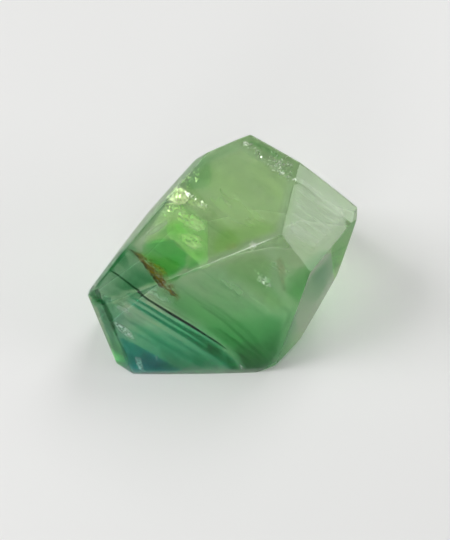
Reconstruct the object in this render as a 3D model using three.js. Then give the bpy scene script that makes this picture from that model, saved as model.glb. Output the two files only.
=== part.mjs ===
// Fluorite freeform: one solid, hand-ground and polished piece of banded green fluorite that stands
// on a flat ground base. Every side is a single large polished facet, very slightly crowned by the
// polishing wheel, with a narrow worn round along each edge. The base is left dead flat, and its rim
// is crisp.
//
// Units are millimetres, +Z is up. The origin is on the resting plane, under the middle of the
// stone's bounding box. The widest facets, front_lower and front_upper, look towards -Y.

import * as THREE from 'three';
import { ConvexHull } from 'three/addons/math/ConvexHull.js';

// ---- driving dimensions ---------------------------------------------------------------------

// Each facet: name, azimuth of its outward normal in degrees (0 is towards -Y, 90 is towards +X),
// elevation of that normal in degrees, and distance of the facet's plane from the origin in mm.
const FACETS = [
  ['base', 0.00, -90.00, 0.00],
  ['front_lower', 1.51, 24.00, 17.73],
  ['front_upper', -30.27, 59.68, 26.93],
  ['right_upper', 47.16, 39.76, 29.36],
  ['right_lower', 50.04, 5.83, 20.66],
  ['top_left', 30.07, 84.58, 37.71],
  ['top_right', 71.79, 44.15, 34.52],
  ['back_right_top', 145.82, 22.18, 28.43],
  ['left_front', -34.30, 11.60, 26.60],
  ['left_back_low', -73.98, -6.46, 26.48],
  ['bevel_left', -114.68, 33.72, 26.84],
  ['back_left', -134.99, 11.28, 18.85],
  ['left_back_up', -130.58, 3.65, 16.20],
  ['back_top', -164.64, 4.49, 16.46],
  ['top_bevel', -154.78, 26.56, 26.90],
  ['right_back_1', 89.61, -12.87, 20.98],
  ['right_back_2', 80.78, -29.02, 15.55],
  ['right_back_3', 44.78, -52.75, 11.57],
  ['back', 170.00, 0.00, 21.40],
];
const BASE = 'base'; // the facet that the stone stands on

const CROWN_RADIUS = 500; // mm, radius of the shallow crown on every polished facet
const EDGE_RADIUS = 0.45; // mm, worn round along each edge and corner
const FACE_STEP = 3.4; // mm, spacing of the points that follow a facet's crown
const EDGE_STEP = 3.0; // mm, spacing of the points along an edge
const ROUND_STEP = 34; // degrees, largest turn between two strips of an edge's round
const FLAT_DEPTH = 2.2; // mm, how far the walls run on below the base before it is ground flat
const MERGE = 0.03; // mm, points closer than this are one

const STONE = { color: 0x8fb57a, roughness: 0.06, metalness: 0.0 }; // milky green, high polish

// ---- geometry -------------------------------------------------------------------------------

const DEG = Math.PI / 180;

const planes = FACETS.map(([name, azimuth, elevation, distance]) => ({
  name,
  flat: name === BASE,
  n: new THREE.Vector3(
    Math.sin(azimuth * DEG) * Math.cos(elevation * DEG),
    -Math.cos(azimuth * DEG) * Math.cos(elevation * DEG),
    Math.sin(elevation * DEG),
  ).normalize(),
  // the rounded body is the offset of a body that is smaller by EDGE_RADIUS on every side
  d: distance + (name === BASE ? FLAT_DEPTH : -EDGE_RADIUS),
}));

// The point where three planes meet, or null where two of them are parallel.
function meet(a, b, c, da = a.d, db = b.d, dc = c.d) {
  const bc = new THREE.Vector3().crossVectors(b.n, c.n);
  const det = a.n.dot(bc);
  if (Math.abs(det) < 1e-7) return null;
  const ca = new THREE.Vector3().crossVectors(c.n, a.n);
  const ab = new THREE.Vector3().crossVectors(a.n, b.n);
  return bc
    .multiplyScalar(da)
    .addScaledVector(ca, db)
    .addScaledVector(ab, dc)
    .divideScalar(det);
}

// Corners of the plane-sided body: each holds its point and the facets that meet there.
const corners = [];
for (let i = 0; i < planes.length; i++)
  for (let j = i + 1; j < planes.length; j++)
    for (let k = j + 1; k < planes.length; k++) {
      const p = meet(planes[i], planes[j], planes[k]);
      if (!p || planes.some((q) => q.n.dot(p) > q.d + 1e-5)) continue;
      const old = corners.find((c) => c.p.distanceTo(p) < 1e-4);
      if (old) [i, j, k].forEach((f) => old.facets.add(f));
      else corners.push({ p, facets: new Set([i, j, k]) });
    }

// Each facet's outline in order, its middle, its own two directions and its crown.
for (const [f, q] of planes.entries()) {
  const on = corners.filter((c) => c.facets.has(f));
  q.used = on.length > 2;
  if (!q.used) continue;
  q.mid = on
    .reduce((s, c) => s.add(c.p), new THREE.Vector3())
    .divideScalar(on.length);
  q.u = new THREE.Vector3().subVectors(on[0].p, q.mid).normalize();
  q.v = new THREE.Vector3().crossVectors(q.n, q.u);
  q.uv = on
    .map((c) => {
      const r = new THREE.Vector3().subVectors(c.p, q.mid);
      return { corner: c, x: r.dot(q.u), y: r.dot(q.v) };
    })
    .sort((a, b) => Math.atan2(a.y, a.x) - Math.atan2(b.y, b.x));
  q.rise = q.flat
    ? 0
    : q.uv.reduce((s, c) => s + c.x * c.x + c.y * c.y, 0) /
      q.uv.length /
      (2 * CROWN_RADIUS);
}

// How far the crown stands above the facet's plane near point p, and its normal there.
const crown = (q, p) =>
  q.flat ? 0 : q.rise - p.distanceToSquared(q.mid) / (2 * CROWN_RADIUS);
function crownNormal(q, p) {
  if (q.flat) return q.n.clone();
  const r = new THREE.Vector3().subVectors(p, q.mid);
  r.addScaledVector(q.n, -r.dot(q.n));
  return q.n
    .clone()
    .addScaledVector(r, 1 / CROWN_RADIUS)
    .normalize();
}

// The point near p where the crowned facets qs meet: two facets make an edge, three a corner.
function settle(qs, p) {
  const r = p.clone();
  if (qs.length > 2) {
    for (let pass = 0; pass < 3; pass++) {
      const [a, b, c] = qs.slice(0, 3);
      r.copy(
        meet(a, b, c, a.d + crown(a, r), b.d + crown(b, r), c.d + crown(c, r)),
      );
    }
    return r;
  }
  const [a, b] = qs;
  const g = a.n.dot(b.n);
  for (let pass = 0; pass < 3; pass++) {
    const ea = a.d + crown(a, r) - a.n.dot(r);
    const eb = b.d + crown(b, r) - b.n.dot(r);
    r.addScaledVector(a.n, (ea - g * eb) / (1 - g * g));
    r.addScaledVector(b.n, (eb - g * ea) / (1 - g * g));
  }
  return r;
}

// The direction a fraction t of the way round from a to b.
function turn(a, b, t) {
  const w = Math.acos(Math.min(1, Math.max(-1, a.dot(b))));
  if (w < 1e-6) return a.clone();
  return a
    .clone()
    .multiplyScalar(Math.sin((1 - t) * w) / Math.sin(w))
    .addScaledVector(b, Math.sin(t * w) / Math.sin(w));
}

const points = [];
function put(p, n) {
  const q = p.clone().addScaledVector(n, EDGE_RADIUS);
  if (!points.some((o) => o.distanceToSquared(q) < MERGE * MERGE))
    points.push(q);
}

for (const c of corners) {
  const qs = [...c.facets].map((f) => planes[f]).filter((q) => q.used);
  c.at = settle(qs, c.p);
  const ns = qs.map((q) => crownNormal(q, c.at));
  const m = ns.reduce((s, n) => s.add(n), new THREE.Vector3()).normalize();
  ns.forEach((n) => put(c.at, n));
  put(c.at, m);
}

for (const q of planes.filter((f) => f.used)) {
  const f = planes.indexOf(q);
  q.uv.forEach((a, i) => {
    const b = q.uv[(i + 1) % q.uv.length];
    const g = [...a.corner.facets].find(
      (o) => o !== f && b.corner.facets.has(o) && planes[o].used,
    );
    if (g === undefined || g < f) return; // each edge is made once
    const pair = [q, planes[g]];
    const length = a.corner.p.distanceTo(b.corner.p);
    const steps = Math.max(1, Math.round(length / EDGE_STEP));
    for (let s = 0; s <= steps; s++) {
      const p =
        s === 0
          ? a.corner.at
          : s === steps
            ? b.corner.at
            : settle(
                pair,
                new THREE.Vector3().lerpVectors(
                  a.corner.p,
                  b.corner.p,
                  s / steps,
                ),
              );
      const na = crownNormal(q, p);
      const nb = crownNormal(planes[g], p);
      const turns = Math.max(1, Math.ceil(na.angleTo(nb) / DEG / ROUND_STEP));
      for (let t = 0; t <= turns; t++) put(p, turn(na, nb, t / turns));
    }
  });
  if (q.flat) continue;
  // rows of points over the crown, kept clear of the facet's outline
  const xs = q.uv.map((c) => c.x);
  const ys = q.uv.map((c) => c.y);
  let row = 0;
  for (
    let y = Math.min(...ys) + 0.45 * FACE_STEP;
    y < Math.max(...ys);
    y += FACE_STEP * Math.sqrt(0.75)
  ) {
    for (
      let x = Math.min(...xs) + (row % 2) * 0.5 * FACE_STEP;
      x < Math.max(...xs);
      x += FACE_STEP
    ) {
      const inside = q.uv.every((a, i) => {
        const b = q.uv[(i + 1) % q.uv.length];
        const l = Math.hypot(b.x - a.x, b.y - a.y);
        return (
          ((b.x - a.x) * (y - a.y) - (b.y - a.y) * (x - a.x)) / l >
          0.42 * FACE_STEP
        );
      });
      if (!inside) continue;
      const p = q.mid.clone().addScaledVector(q.u, x).addScaledVector(q.v, y);
      const n = crownNormal(q, p);
      put(p.addScaledVector(q.n, crown(q, p)), n);
    }
    row++;
  }
}

// The triangles of the convex body around a set of points.
function wrap(set) {
  const hull = new ConvexHull().setFromPoints(set);
  return hull.faces.map((face) => {
    const ring = [];
    let e = face.edge;
    do {
      ring.push(e.head().point);
      e = e.next;
    } while (e !== face.edge);
    return ring;
  });
}

// Grind the base flat: keep what stands above z = 0 and close it with the points where the walls
// cross that plane.
const kept = points.filter((p) => p.z > 0.02);
const rim = [];
for (const ring of wrap(points))
  ring.forEach((a, i) => {
    const b = ring[(i + 1) % ring.length];
    if (a.z > 0.02 === b.z > 0.02) return;
    const p = new THREE.Vector3().lerpVectors(a, b, a.z / (a.z - b.z));
    p.z = 0;
    if (!rim.some((o) => o.distanceTo(p) < MERGE)) rim.push(p);
  });

const position = [];
for (const ring of wrap([...kept, ...rim]))
  for (let i = 1; i + 1 < ring.length; i++)
    for (const p of [ring[0], ring[i], ring[i + 1]])
      position.push(p.x, p.y, p.z);

const geometry = new THREE.BufferGeometry();
geometry.setAttribute(
  'position',
  new THREE.Float32BufferAttribute(position, 3),
);
geometry.computeVertexNormals();

const stone = new THREE.Mesh(geometry, new THREE.MeshStandardMaterial(STONE));
stone.name = 'fluorite_freeform';

const part = new THREE.Group();
part.add(stone);

export default part;
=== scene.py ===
# Fluorite freeform: the visual model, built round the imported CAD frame.
# Everything is modelled in millimetres in the CAD frame and written to Blender in metres.
import itertools
import math

import bmesh
import bpy
import numpy as np
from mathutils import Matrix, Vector, geometry, noise


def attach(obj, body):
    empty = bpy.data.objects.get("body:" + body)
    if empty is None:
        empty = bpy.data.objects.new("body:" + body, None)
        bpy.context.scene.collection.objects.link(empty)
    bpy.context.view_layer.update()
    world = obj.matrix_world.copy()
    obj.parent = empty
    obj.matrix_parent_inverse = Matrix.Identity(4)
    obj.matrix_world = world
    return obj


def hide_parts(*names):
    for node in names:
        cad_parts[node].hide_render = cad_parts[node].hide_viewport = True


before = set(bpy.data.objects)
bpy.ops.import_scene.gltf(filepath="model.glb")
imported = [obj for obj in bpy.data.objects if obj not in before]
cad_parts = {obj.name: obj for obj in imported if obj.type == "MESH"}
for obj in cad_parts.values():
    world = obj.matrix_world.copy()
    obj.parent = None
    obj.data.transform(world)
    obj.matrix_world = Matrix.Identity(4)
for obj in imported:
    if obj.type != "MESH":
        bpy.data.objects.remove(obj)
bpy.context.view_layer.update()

MM = 0.001
RNG = np.random.default_rng(20)

# ---------------------------------------------------------------------------------------------
# The stone's form: the same facet table as the CAD solid
# ---------------------------------------------------------------------------------------------
# name, azimuth of the outward normal (0 is -Y, 90 is +X), its elevation, distance in mm
FACETS = [
    ('base', 0.00, -90.00, 0.00),
    ('front_lower', 1.51, 24.00, 17.73),
    ('front_upper', -30.27, 59.68, 26.93),
    ('right_upper', 47.16, 39.76, 29.36),
    ('right_lower', 50.04, 5.83, 20.66),
    ('top_left', 30.07, 84.58, 37.71),
    ('top_right', 71.79, 44.15, 34.52),
    ('back_right_top', 145.82, 22.18, 28.43),
    ('left_front', -34.30, 11.60, 26.60),
    ('left_back_low', -73.98, -6.46, 26.48),
    ('bevel_left', -114.68, 33.72, 26.84),
    ('back_left', -134.99, 11.28, 18.85),
    ('left_back_up', -130.58, 3.65, 16.20),
    ('back_top', -164.64, 4.49, 16.46),
    ('top_bevel', -154.78, 26.56, 26.90),
    ('right_back_1', 89.61, -12.87, 20.98),
    ('right_back_2', 80.78, -29.02, 15.55),
    ('right_back_3', 44.78, -52.75, 11.57),
    ('back', 170.00, 0.00, 21.40),
]
CROWN_RADIUS = 500.0  # mm, shallow crown on every polished facet
EDGE_RADIUS = 0.45  # mm, worn round along each edge
FLAT_DEPTH = 2.2  # mm, the walls run on this far below the base before it is cut flat
IOR = 1.434

NAMES = [f[0] for f in FACETS]
INDEX = {n: i for i, n in enumerate(NAMES)}


def _normal(az, el):
    a, e = math.radians(az), math.radians(el)
    return np.array(
        [math.sin(a) * math.cos(e), -math.cos(a) * math.cos(e), math.sin(e)]
    )


N = np.array([_normal(az, el) for _, az, el, _ in FACETS])
D = np.array([d for *_, d in FACETS])
CROWN = np.array([np.inf if n == "base" else CROWN_RADIUS for n in NAMES])


def unit(v):
    v = np.asarray(v, float)
    return v / np.linalg.norm(v)


def corners_of(n, d):
    """Corners, outlines and edges of the convex body n.x <= d."""
    pts, sets = [], []
    for i, j, k in itertools.combinations(range(len(d)), 3):
        a = n[[i, j, k]]
        if abs(np.linalg.det(a)) < 1e-7:
            continue
        p = np.linalg.solve(a, d[[i, j, k]])
        if np.any(n @ p > d + 1e-5):
            continue
        for q, old in enumerate(pts):
            if np.linalg.norm(old - p) < 1e-4:
                sets[q].update((i, j, k))
                break
        else:
            pts.append(p)
            sets.append({i, j, k})
    pts = np.array(pts)
    outline = {}
    for f in range(len(d)):
        on = [q for q in range(len(pts)) if f in sets[q]]
        if len(on) < 3:
            continue
        c = pts[on].mean(0)
        a = unit(pts[on[0]] - c)
        b = np.cross(n[f], a)
        on.sort(key=lambda q: math.atan2((pts[q] - c) @ b, (pts[q] - c) @ a))
        outline[f] = on
    edges = {}
    for f, on in outline.items():
        for x, y in zip(on, on[1:] + on[:1]):
            edges.setdefault((min(x, y), max(x, y)), []).append(f)
    return pts, sets, outline, edges


def slerp(a, b, t):
    w = math.acos(max(-1.0, min(1.0, float(a @ b))))
    if w < 1e-6:
        return a
    return (math.sin((1 - t) * w) * a + math.sin(t * w) * b) / math.sin(w)


class Crown:
    """The crowned facets of the body n.x <= d, inset by the edge radius."""

    def __init__(self, n, d, radius):
        self.n, self.d, self.radius = n, d, radius
        self.pts, self.sets, self.outline, self.edges = corners_of(n, d)
        self.mid, self.rise = {}, {}
        for f, on in self.outline.items():
            p = self.pts[on]
            c = p.mean(0)
            self.mid[f] = c
            self.rise[f] = (
                0.0
                if not np.isfinite(radius[f])
                else float(np.mean(np.sum((p - c) ** 2, 1))) / (2 * radius[f])
            )

    def height(self, f, p):
        if not np.isfinite(self.radius[f]):
            return 0.0
        return self.rise[f] - float(np.sum((p - self.mid[f]) ** 2)) / (
            2 * self.radius[f]
        )

    def normal(self, f, p):
        if not np.isfinite(self.radius[f]):
            return self.n[f]
        r = p - self.mid[f]
        return unit(self.n[f] + (r - self.n[f] * (r @ self.n[f])) / self.radius[f])

    def settle(self, fs, p):
        q = p.copy()
        for _ in range(3):
            a = self.n[fs]
            e = np.array([self.d[f] + self.height(f, q) - self.n[f] @ q for f in fs])
            q = q + np.linalg.lstsq(a, e, rcond=None)[0]
        return q


def rounded_points(body, r, h, seg):
    """Points and normals over the crowned body with every edge rounded to radius r."""
    pts, nor = [], []

    def add(p, n):
        pts.append(p + r * n)
        nor.append(n)

    at = []
    for q, p in enumerate(body.pts):
        at.append(body.settle([f for f in body.sets[q] if f in body.outline][:3], p))
    for (x, y), fs in body.edges.items():
        a, b = body.pts[x], body.pts[y]
        n = max(1, int(round(np.linalg.norm(b - a) / h)))
        for i in range(n + 1):
            p = (
                at[x]
                if i == 0
                else at[y] if i == n else body.settle(fs, a + (b - a) * i / n)
            )
            na, nb = body.normal(fs[0], p), body.normal(fs[1], p)
            ang = math.acos(max(-1.0, min(1.0, float(na @ nb))))
            sg = max(2, int(math.ceil(seg * ang / math.radians(60))))
            for s in range(sg + 1):
                add(p, slerp(na, nb, s / sg))
    for q in range(len(body.pts)):
        fs = [f for f in body.sets[q] if f in body.outline]
        ns = [body.normal(f, at[q]) for f in fs]
        m = unit(sum(ns))
        add(at[q], m)
        for i, ni in enumerate(ns):
            for t in (0.35, 0.7):
                add(at[q], slerp(m, ni, t))
            for nj in ns[:i]:
                add(at[q], slerp(m, unit(ni + nj), 0.5))
    for f, on in body.outline.items():
        if not np.isfinite(body.radius[f]):
            continue
        p = body.pts[on]
        c, n = body.mid[f], body.n[f]
        a = unit(p[1] - p[0])
        b = np.cross(n, a)
        uv = np.array([((q - c) @ a, (q - c) @ b) for q in p])
        lo, hi = uv.min(0), uv.max(0)
        row, y = 0, lo[1] + h * 0.45
        while y < hi[1]:
            x = lo[0] + (h * 0.5 if row % 2 else 0)
            while x < hi[0]:
                ok = True
                for p0, p1 in zip(uv, np.roll(uv, -1, 0)):
                    e = p1 - p0
                    l = np.linalg.norm(e)
                    if l > 1e-9 and (
                        (e[0] * (y - p0[1]) - e[1] * (x - p0[0])) / l < 0.42 * h
                    ):
                        ok = False
                        break
                if ok:
                    q = c + a * x + b * y
                    add(q + n * body.height(f, q), body.normal(f, q))
                x += h
            y += h * 0.866
            row += 1
    return np.array(pts), np.array(nor)


_outer_d = D - EDGE_RADIUS
_outer_d[INDEX["base"]] = D[INDEX["base"]] + FLAT_DEPTH
BODY = Crown(N, _outer_d, CROWN)

# ---------------------------------------------------------------------------------------------
# The line of sight of the main view, used to lay out what lies inside the stone
# ---------------------------------------------------------------------------------------------
CAM_ELEVATION = math.radians(62.0)
CAM_TARGET = np.array([0.433, -3.343, 16.0])
CAM_BACK = np.array([0.0, -math.cos(CAM_ELEVATION), math.sin(CAM_ELEVATION)])
FOCAL_PX = 975.0  # a 65 mm lens on a 36 mm sensor across 540
CAM_DIST = 55.0 / 267.0 * FOCAL_PX
CAM_AT = CAM_TARGET + CAM_BACK * CAM_DIST
CAM_RIGHT = np.array([1.0, 0.0, 0.0])
CAM_UP = np.cross(CAM_RIGHT, -CAM_BACK)


def sight(u, v):
    return unit(-CAM_BACK * FOCAL_PX + CAM_RIGHT * (u - 225.0) - CAM_UP * (v - 270.0))


def entry(u, v):
    """Where the line of sight (u, v) enters the stone, and its direction inside."""
    d = sight(u, v)
    best, face = -1e9, None
    for i in range(len(D)):
        dn = d @ N[i]
        if dn < -1e-6:
            t = (D[i] - N[i] @ CAM_AT) / dn
            if t > best:
                best, face = t, i
    p = CAM_AT + d * best
    for _ in range(2):
        off = BODY.height(face, p) if face in BODY.mid else 0.0
        p = CAM_AT + d * ((D[face] + off - N[face] @ CAM_AT) / (d @ N[face]))
    n = BODY.normal(face, p) if face in BODY.mid else N[face]
    ci = -(d @ n)
    eta = 1.0 / IOR
    return p, unit(eta * d + (eta * ci - math.sqrt(1 - eta * eta * (1 - ci * ci))) * n)


def way_out(p, d, inset=0.3):
    """How far from p along d the stone's wall is, less an inset."""
    t = 1e9
    for i in range(len(D)):
        dn = d @ N[i]
        if dn > 1e-6:
            t = min(t, (D[i] - inset - N[i] @ p) / dn)
    return t


def inside(u, v, depth, inset=0.3):
    """The point at this depth (mm) along the refracted line of sight (u, v)."""
    p, d = entry(u, v)
    return p + d * max(0.05, min(depth, way_out(p, d, inset)))


# ---------------------------------------------------------------------------------------------
# Mesh helpers
# ---------------------------------------------------------------------------------------------
def link(name, me):
    ob = bpy.data.objects.new(name, me)
    bpy.context.scene.collection.objects.link(ob)
    return ob


def mesh_from(name, verts, faces, smooth=False):
    me = bpy.data.meshes.new(name)
    me.from_pydata([tuple(np.asarray(v) * MM) for v in verts], [], faces)
    me.validate()
    me.update()
    if smooth:
        me.polygons.foreach_set("use_smooth", [True] * len(me.polygons))
    return link(name, me)


def stone_mesh(name, pts, nor):
    bm = bmesh.new()
    src = bm.verts.layers.int.new("src")
    seen = set()
    for i, p in enumerate(pts):
        k = tuple(np.round(p, 4))
        if k in seen:
            continue
        seen.add(k)
        v = bm.verts.new(p)
        v[src] = i
    res = bmesh.ops.convex_hull(bm, input=bm.verts[:], use_existing_faces=False)
    dead = [e for e in res["geom_interior"] if isinstance(e, bmesh.types.BMVert)]
    dead += [v for v in bm.verts if not v.link_faces]
    bmesh.ops.delete(bm, geom=list(set(dead)), context="VERTS")
    bmesh.ops.recalc_face_normals(bm, faces=bm.faces[:])
    nrm = bm.verts.layers.float_vector.new("nrm")
    for v in bm.verts:
        v[nrm] = tuple(nor[v[src]])
    res = bmesh.ops.bisect_plane(
        bm,
        geom=bm.verts[:] + bm.edges[:] + bm.faces[:],
        dist=1e-6,
        plane_co=(0, 0, 0),
        plane_no=(0, 0, -1),
        clear_outer=True,
    )
    cut = [e for e in res["geom_cut"] if isinstance(e, bmesh.types.BMEdge)]
    rim = list({v for e in cut for v in e.verts})
    cx = sum(v.co.x for v in rim) / len(rim)
    cy = sum(v.co.y for v in rim) / len(rim)
    rim.sort(key=lambda v: -math.atan2(v.co.y - cy, v.co.x - cx))
    for v in rim:
        v.co.z = 0.0
    bm.faces.new(rim)
    flat = bm.faces.layers.int.new("flat")
    for f in bm.faces:
        if len(f.verts) == len(rim) and len(rim) > 4:
            f[flat] = 1
    loops = []
    for f in bm.faces:
        for lp in f.loops:
            q = lp.vert[nrm]
            if f[flat]:
                loops.append((0.0, 0.0, -1.0))
            else:
                loops.append(tuple(q.normalized()) if q.length > 0.1 else tuple(f.normal))
    me = bpy.data.meshes.new(name)
    bm.to_mesh(me)
    bm.free()
    me.polygons.foreach_set("use_smooth", [True] * len(me.polygons))
    me.normals_split_custom_set(loops)
    co = np.empty(len(me.vertices) * 3)
    me.vertices.foreach_get("co", co)
    me.vertices.foreach_set("co", co * MM)
    for a in ("src", "nrm", "flat"):
        if a in me.attributes:
            me.attributes.remove(me.attributes[a])
    return link(name, me)


def dense(poly, step=4.0):
    """The closed outline poly with points no further apart than step."""
    out = []
    for a, b in zip(poly, poly[1:] + poly[:1]):
        a, b = np.array(a, float), np.array(b, float)
        n = max(1, int(math.ceil(np.linalg.norm(b - a) / step)))
        out += [a + (b - a) * i / n for i in range(n)]
    return out


# ---------------------------------------------------------------------------------------------
# Materials
# ---------------------------------------------------------------------------------------------
def new_material(name):
    m = bpy.data.materials.new(name)
    m.use_nodes = True
    nt = m.node_tree
    return m, nt, nt.nodes["Principled BSDF"], nt.nodes["Material Output"]


def clear_material(name, ior, absorb, density, roughness=0.0):
    """Transmission with plain volume absorption."""
    m, nt, b, out = new_material(name)
    b.inputs["Base Color"].default_value = (1, 1, 1, 1)
    b.inputs["Transmission Weight"].default_value = 1.0
    b.inputs["IOR"].default_value = ior
    b.inputs["Roughness"].default_value = roughness
    va = nt.nodes.new("ShaderNodeVolumeAbsorption")
    va.inputs["Color"].default_value = (*absorb, 1)
    va.inputs["Density"].default_value = density
    nt.links.new(va.outputs[0], out.inputs["Volume"])
    return m, nt, b


STONE_MAT, _nt, _b = clear_material("fluorite", IOR, (0.69, 0.965, 0.49), 20.0, 0.02)

# ---------------------------------------------------------------------------------------------
# The stone
# ---------------------------------------------------------------------------------------------
pts, nor = rounded_points(BODY, EDGE_RADIUS, 1.2, 6)
stone = stone_mesh("fluorite_freeform_visual", pts, nor)
stone.data.materials.append(STONE_MAT)
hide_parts("fluorite_freeform")
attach(stone, "root")

# ---------------------------------------------------------------------------------------------
# What is sealed in the stone. Outlines are laid out along the main view's lines of sight
# ---------------------------------------------------------------------------------------------
PIECES = []


def add(ob):
    PIECES.append(ob)
    return ob


def colour_zone(name, per_mm):
    """An index-matched zone that takes this much of red, green and blue light per mm."""
    a = np.array(per_mm, float)
    density = float(a.max() * 1000 / 0.98)
    m, _, _ = clear_material(name, 1.0, tuple(1 - a * 1000 / density), density)
    return m


def poly_distance(poly, u, v):
    """Signed distance from (u, v) to the outline, positive inside."""
    best, wind = 1e18, False
    x0, y0 = poly[-1]
    for x1, y1 in poly:
        ex, ey = x1 - x0, y1 - y0
        l2 = ex * ex + ey * ey
        t = 0.0 if l2 < 1e-12 else max(0.0, min(1.0, ((u - x0) * ex + (v - y0) * ey) / l2))
        dx, dy = u - x0 - ex * t, v - y0 - ey * t
        best = min(best, dx * dx + dy * dy)
        if (y0 > v) != (y1 > v) and u < x0 + (v - y0) / (y1 - y0) * ex:
            wind = not wind
        x0, y0 = x1, y1
    return math.sqrt(best) if wind else -math.sqrt(best)


def smooth01(x):
    x = max(0.0, min(1.0, x))
    return x * x * (3 - 2 * x)


def ramp(x, *stops):
    """Piecewise linear function through (x, y) stops."""
    if x <= stops[0][0]:
        return stops[0][1]
    for (a, p), (b, q) in zip(stops, stops[1:]):
        if x <= b:
            return p + (q - p) * (x - a) / (b - a)
    return stops[-1][1]


def fbm(u, v, scale, seed=0.0, octaves=3):
    s, amp, f = 0.0, 1.0, 1.0 / scale
    for _ in range(octaves):
        s += amp * noise.noise(Vector((u * f, v * f, seed)))
        amp *= 0.5
        f *= 2.0
    return s


def along(u, v):
    return 0.829 * u + 0.559 * v


def across(u, v):
    return 0.829 * v - 0.559 * u


def streak(u, v, seed, long=60.0, wide=5.0):
    """Noise drawn out along the growth banding, about -1 to 1."""
    return fbm(along(u, v) / long, across(u, v) / wide, 1.0, seed) * 1.3


WALL_INSET = np.array([0.06 if n == "base" else 0.30 for n in NAMES])  # mm, clear of the worn edges
SHORTEST = 0.30  # mm, the least stone a zone needs


def facet_seen(u, v):
    """The facet the line of sight (u, v) comes in by."""
    d = sight(u, v)
    into = [
        ((D[i] - N[i] @ CAM_AT) / (d @ N[i]), i) for i in range(len(D)) if d @ N[i] < -1e-6
    ]
    return max(into)[1]


def chord(u, v, face):
    """Start, direction, first and last distance inside the stone, for the line of sight (u, v)
    bent by this facet."""
    s = sight(u, v)
    n = N[face]
    p = CAM_AT + s * ((D[face] - n @ CAM_AT) / (s @ n))
    p = CAM_AT + s * ((D[face] + max(BODY.height(face, p), -1.0) - n @ CAM_AT) / (s @ n))
    ci = -(s @ n)
    d = unit(s / IOR + (ci / IOR - math.sqrt(1 - (1 - ci * ci) / IOR**2)) * n)
    dn = N @ d
    gap = D - WALL_INSET - N @ p
    first = max([0.0] + [gap[i] / dn[i] for i in range(len(D)) if dn[i] < -1e-6])
    last = min(gap[i] / dn[i] for i in range(len(D)) if dn[i] > 1e-6)
    return p, d, first, last


def fits(u, v, face):
    _, _, first, last = chord(u, v, face)
    return last - first > SHORTEST


def pull_in(u, v, face, home):
    """(u, v), moved straight towards home just far enough to lie within the stone."""
    if fits(u, v, face):
        return u, v
    lo, hi = 0.0, 1.0
    for _ in range(12):
        mid = (lo + hi) / 2
        if fits(u + (home[0] - u) * mid, v + (home[1] - v) * mid, face):
            hi = mid
        else:
            lo = mid
    return u + (home[0] - u) * hi, v + (home[1] - v) * hi


def span(u, v, near, thick, face):
    """Two points on the line of sight (u, v) that hold a zone of this thickness. Each zone keeps
    a few microns of its own at both ends, so that no two zones share a surface."""
    p, d, first, last = chord(u, v, face)
    own = 0.007 * len(PIECES) * min(1.0, (last - first) / 3.0)
    first, last = first + 0.6 * own, last - own * 0.6
    a = first + min(near, 0.25 * (last - first))
    b = max(a + 0.02, min(a + thick, last))
    return p + d * a, p + d * b


def sheet_grid(poly, grid, face):
    """A triangulated grid inside the outline: points, triangles, and the outline as trimmed."""
    home = np.mean(poly, axis=0)
    ring = [pull_in(float(p[0]), float(p[1]), face, home) for p in dense(poly, grid)]
    ring = [(float(p[0]), float(p[1])) for p in ring]
    ring = [p for p, q in zip(ring, ring[-1:] + ring[:-1]) if math.dist(p, q) > 0.25 * grid]
    poly = ring
    pts2 = [Vector((p[0], p[1])) for p in ring]
    edges = [(i, (i + 1) % len(ring)) for i in range(len(ring))]
    us, vs = [p[0] for p in ring], [p[1] for p in ring]
    row, v = 0, min(vs) + grid * 0.5
    while v < max(vs):
        u = min(us) + (grid * 0.5 if row % 2 else 0)
        while u < max(us):
            if poly_distance(poly, u, v) > grid * 0.45 and fits(u, v, face):
                pts2.append(Vector((u, v)))
            u += grid
        v += grid * 0.866
        row += 1
    out = geometry.delaunay_2d_cdt(pts2, edges, [], 1, 1e-4)
    return out[0], out[2], poly


def close_up(ob, mat):
    bm = bmesh.new()
    bm.from_mesh(ob.data)
    if bm.calc_volume(signed=True) < 0:
        bmesh.ops.reverse_faces(bm, faces=bm.faces[:])
    bm.to_mesh(ob.data)
    bm.free()
    ob.data.materials.append(mat)
    return ob


def lens(name, poly, near, thick, feather, mat, grid=4.0, relief=None):
    """A closed, soft-edged body inside the stone: its thickness falls to nothing at the outline."""
    face = facet_seen(*np.mean(poly, axis=0))
    vv, ff, poly = sheet_grid(poly, grid, face)
    nf = near if callable(near) else (lambda a, b: near)
    tf = thick if callable(thick) else (lambda a, b: thick)
    top, bot = [], []
    verts = []
    for p in vv:
        d = poly_distance(poly, p.x, p.y)
        t = tf(p.x, p.y) * smooth01(d / feather)
        if relief is not None:
            t *= max(0.0, relief(p.x, p.y))
        a, b = span(p.x, p.y, nf(p.x, p.y), max(t, 0.02), face)
        verts.append(a)
        top.append(len(verts) - 1)
        if d >= 0.05:
            verts.append(b)
        bot.append(len(verts) - 1)
    faces = []
    for f in ff:
        if any(top[i] != bot[i] for i in f):
            faces.append(tuple(top[i] for i in f))
            faces.append(tuple(bot[i] for i in reversed(f)))
    return close_up(mesh_from(name, verts, faces), mat)


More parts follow.
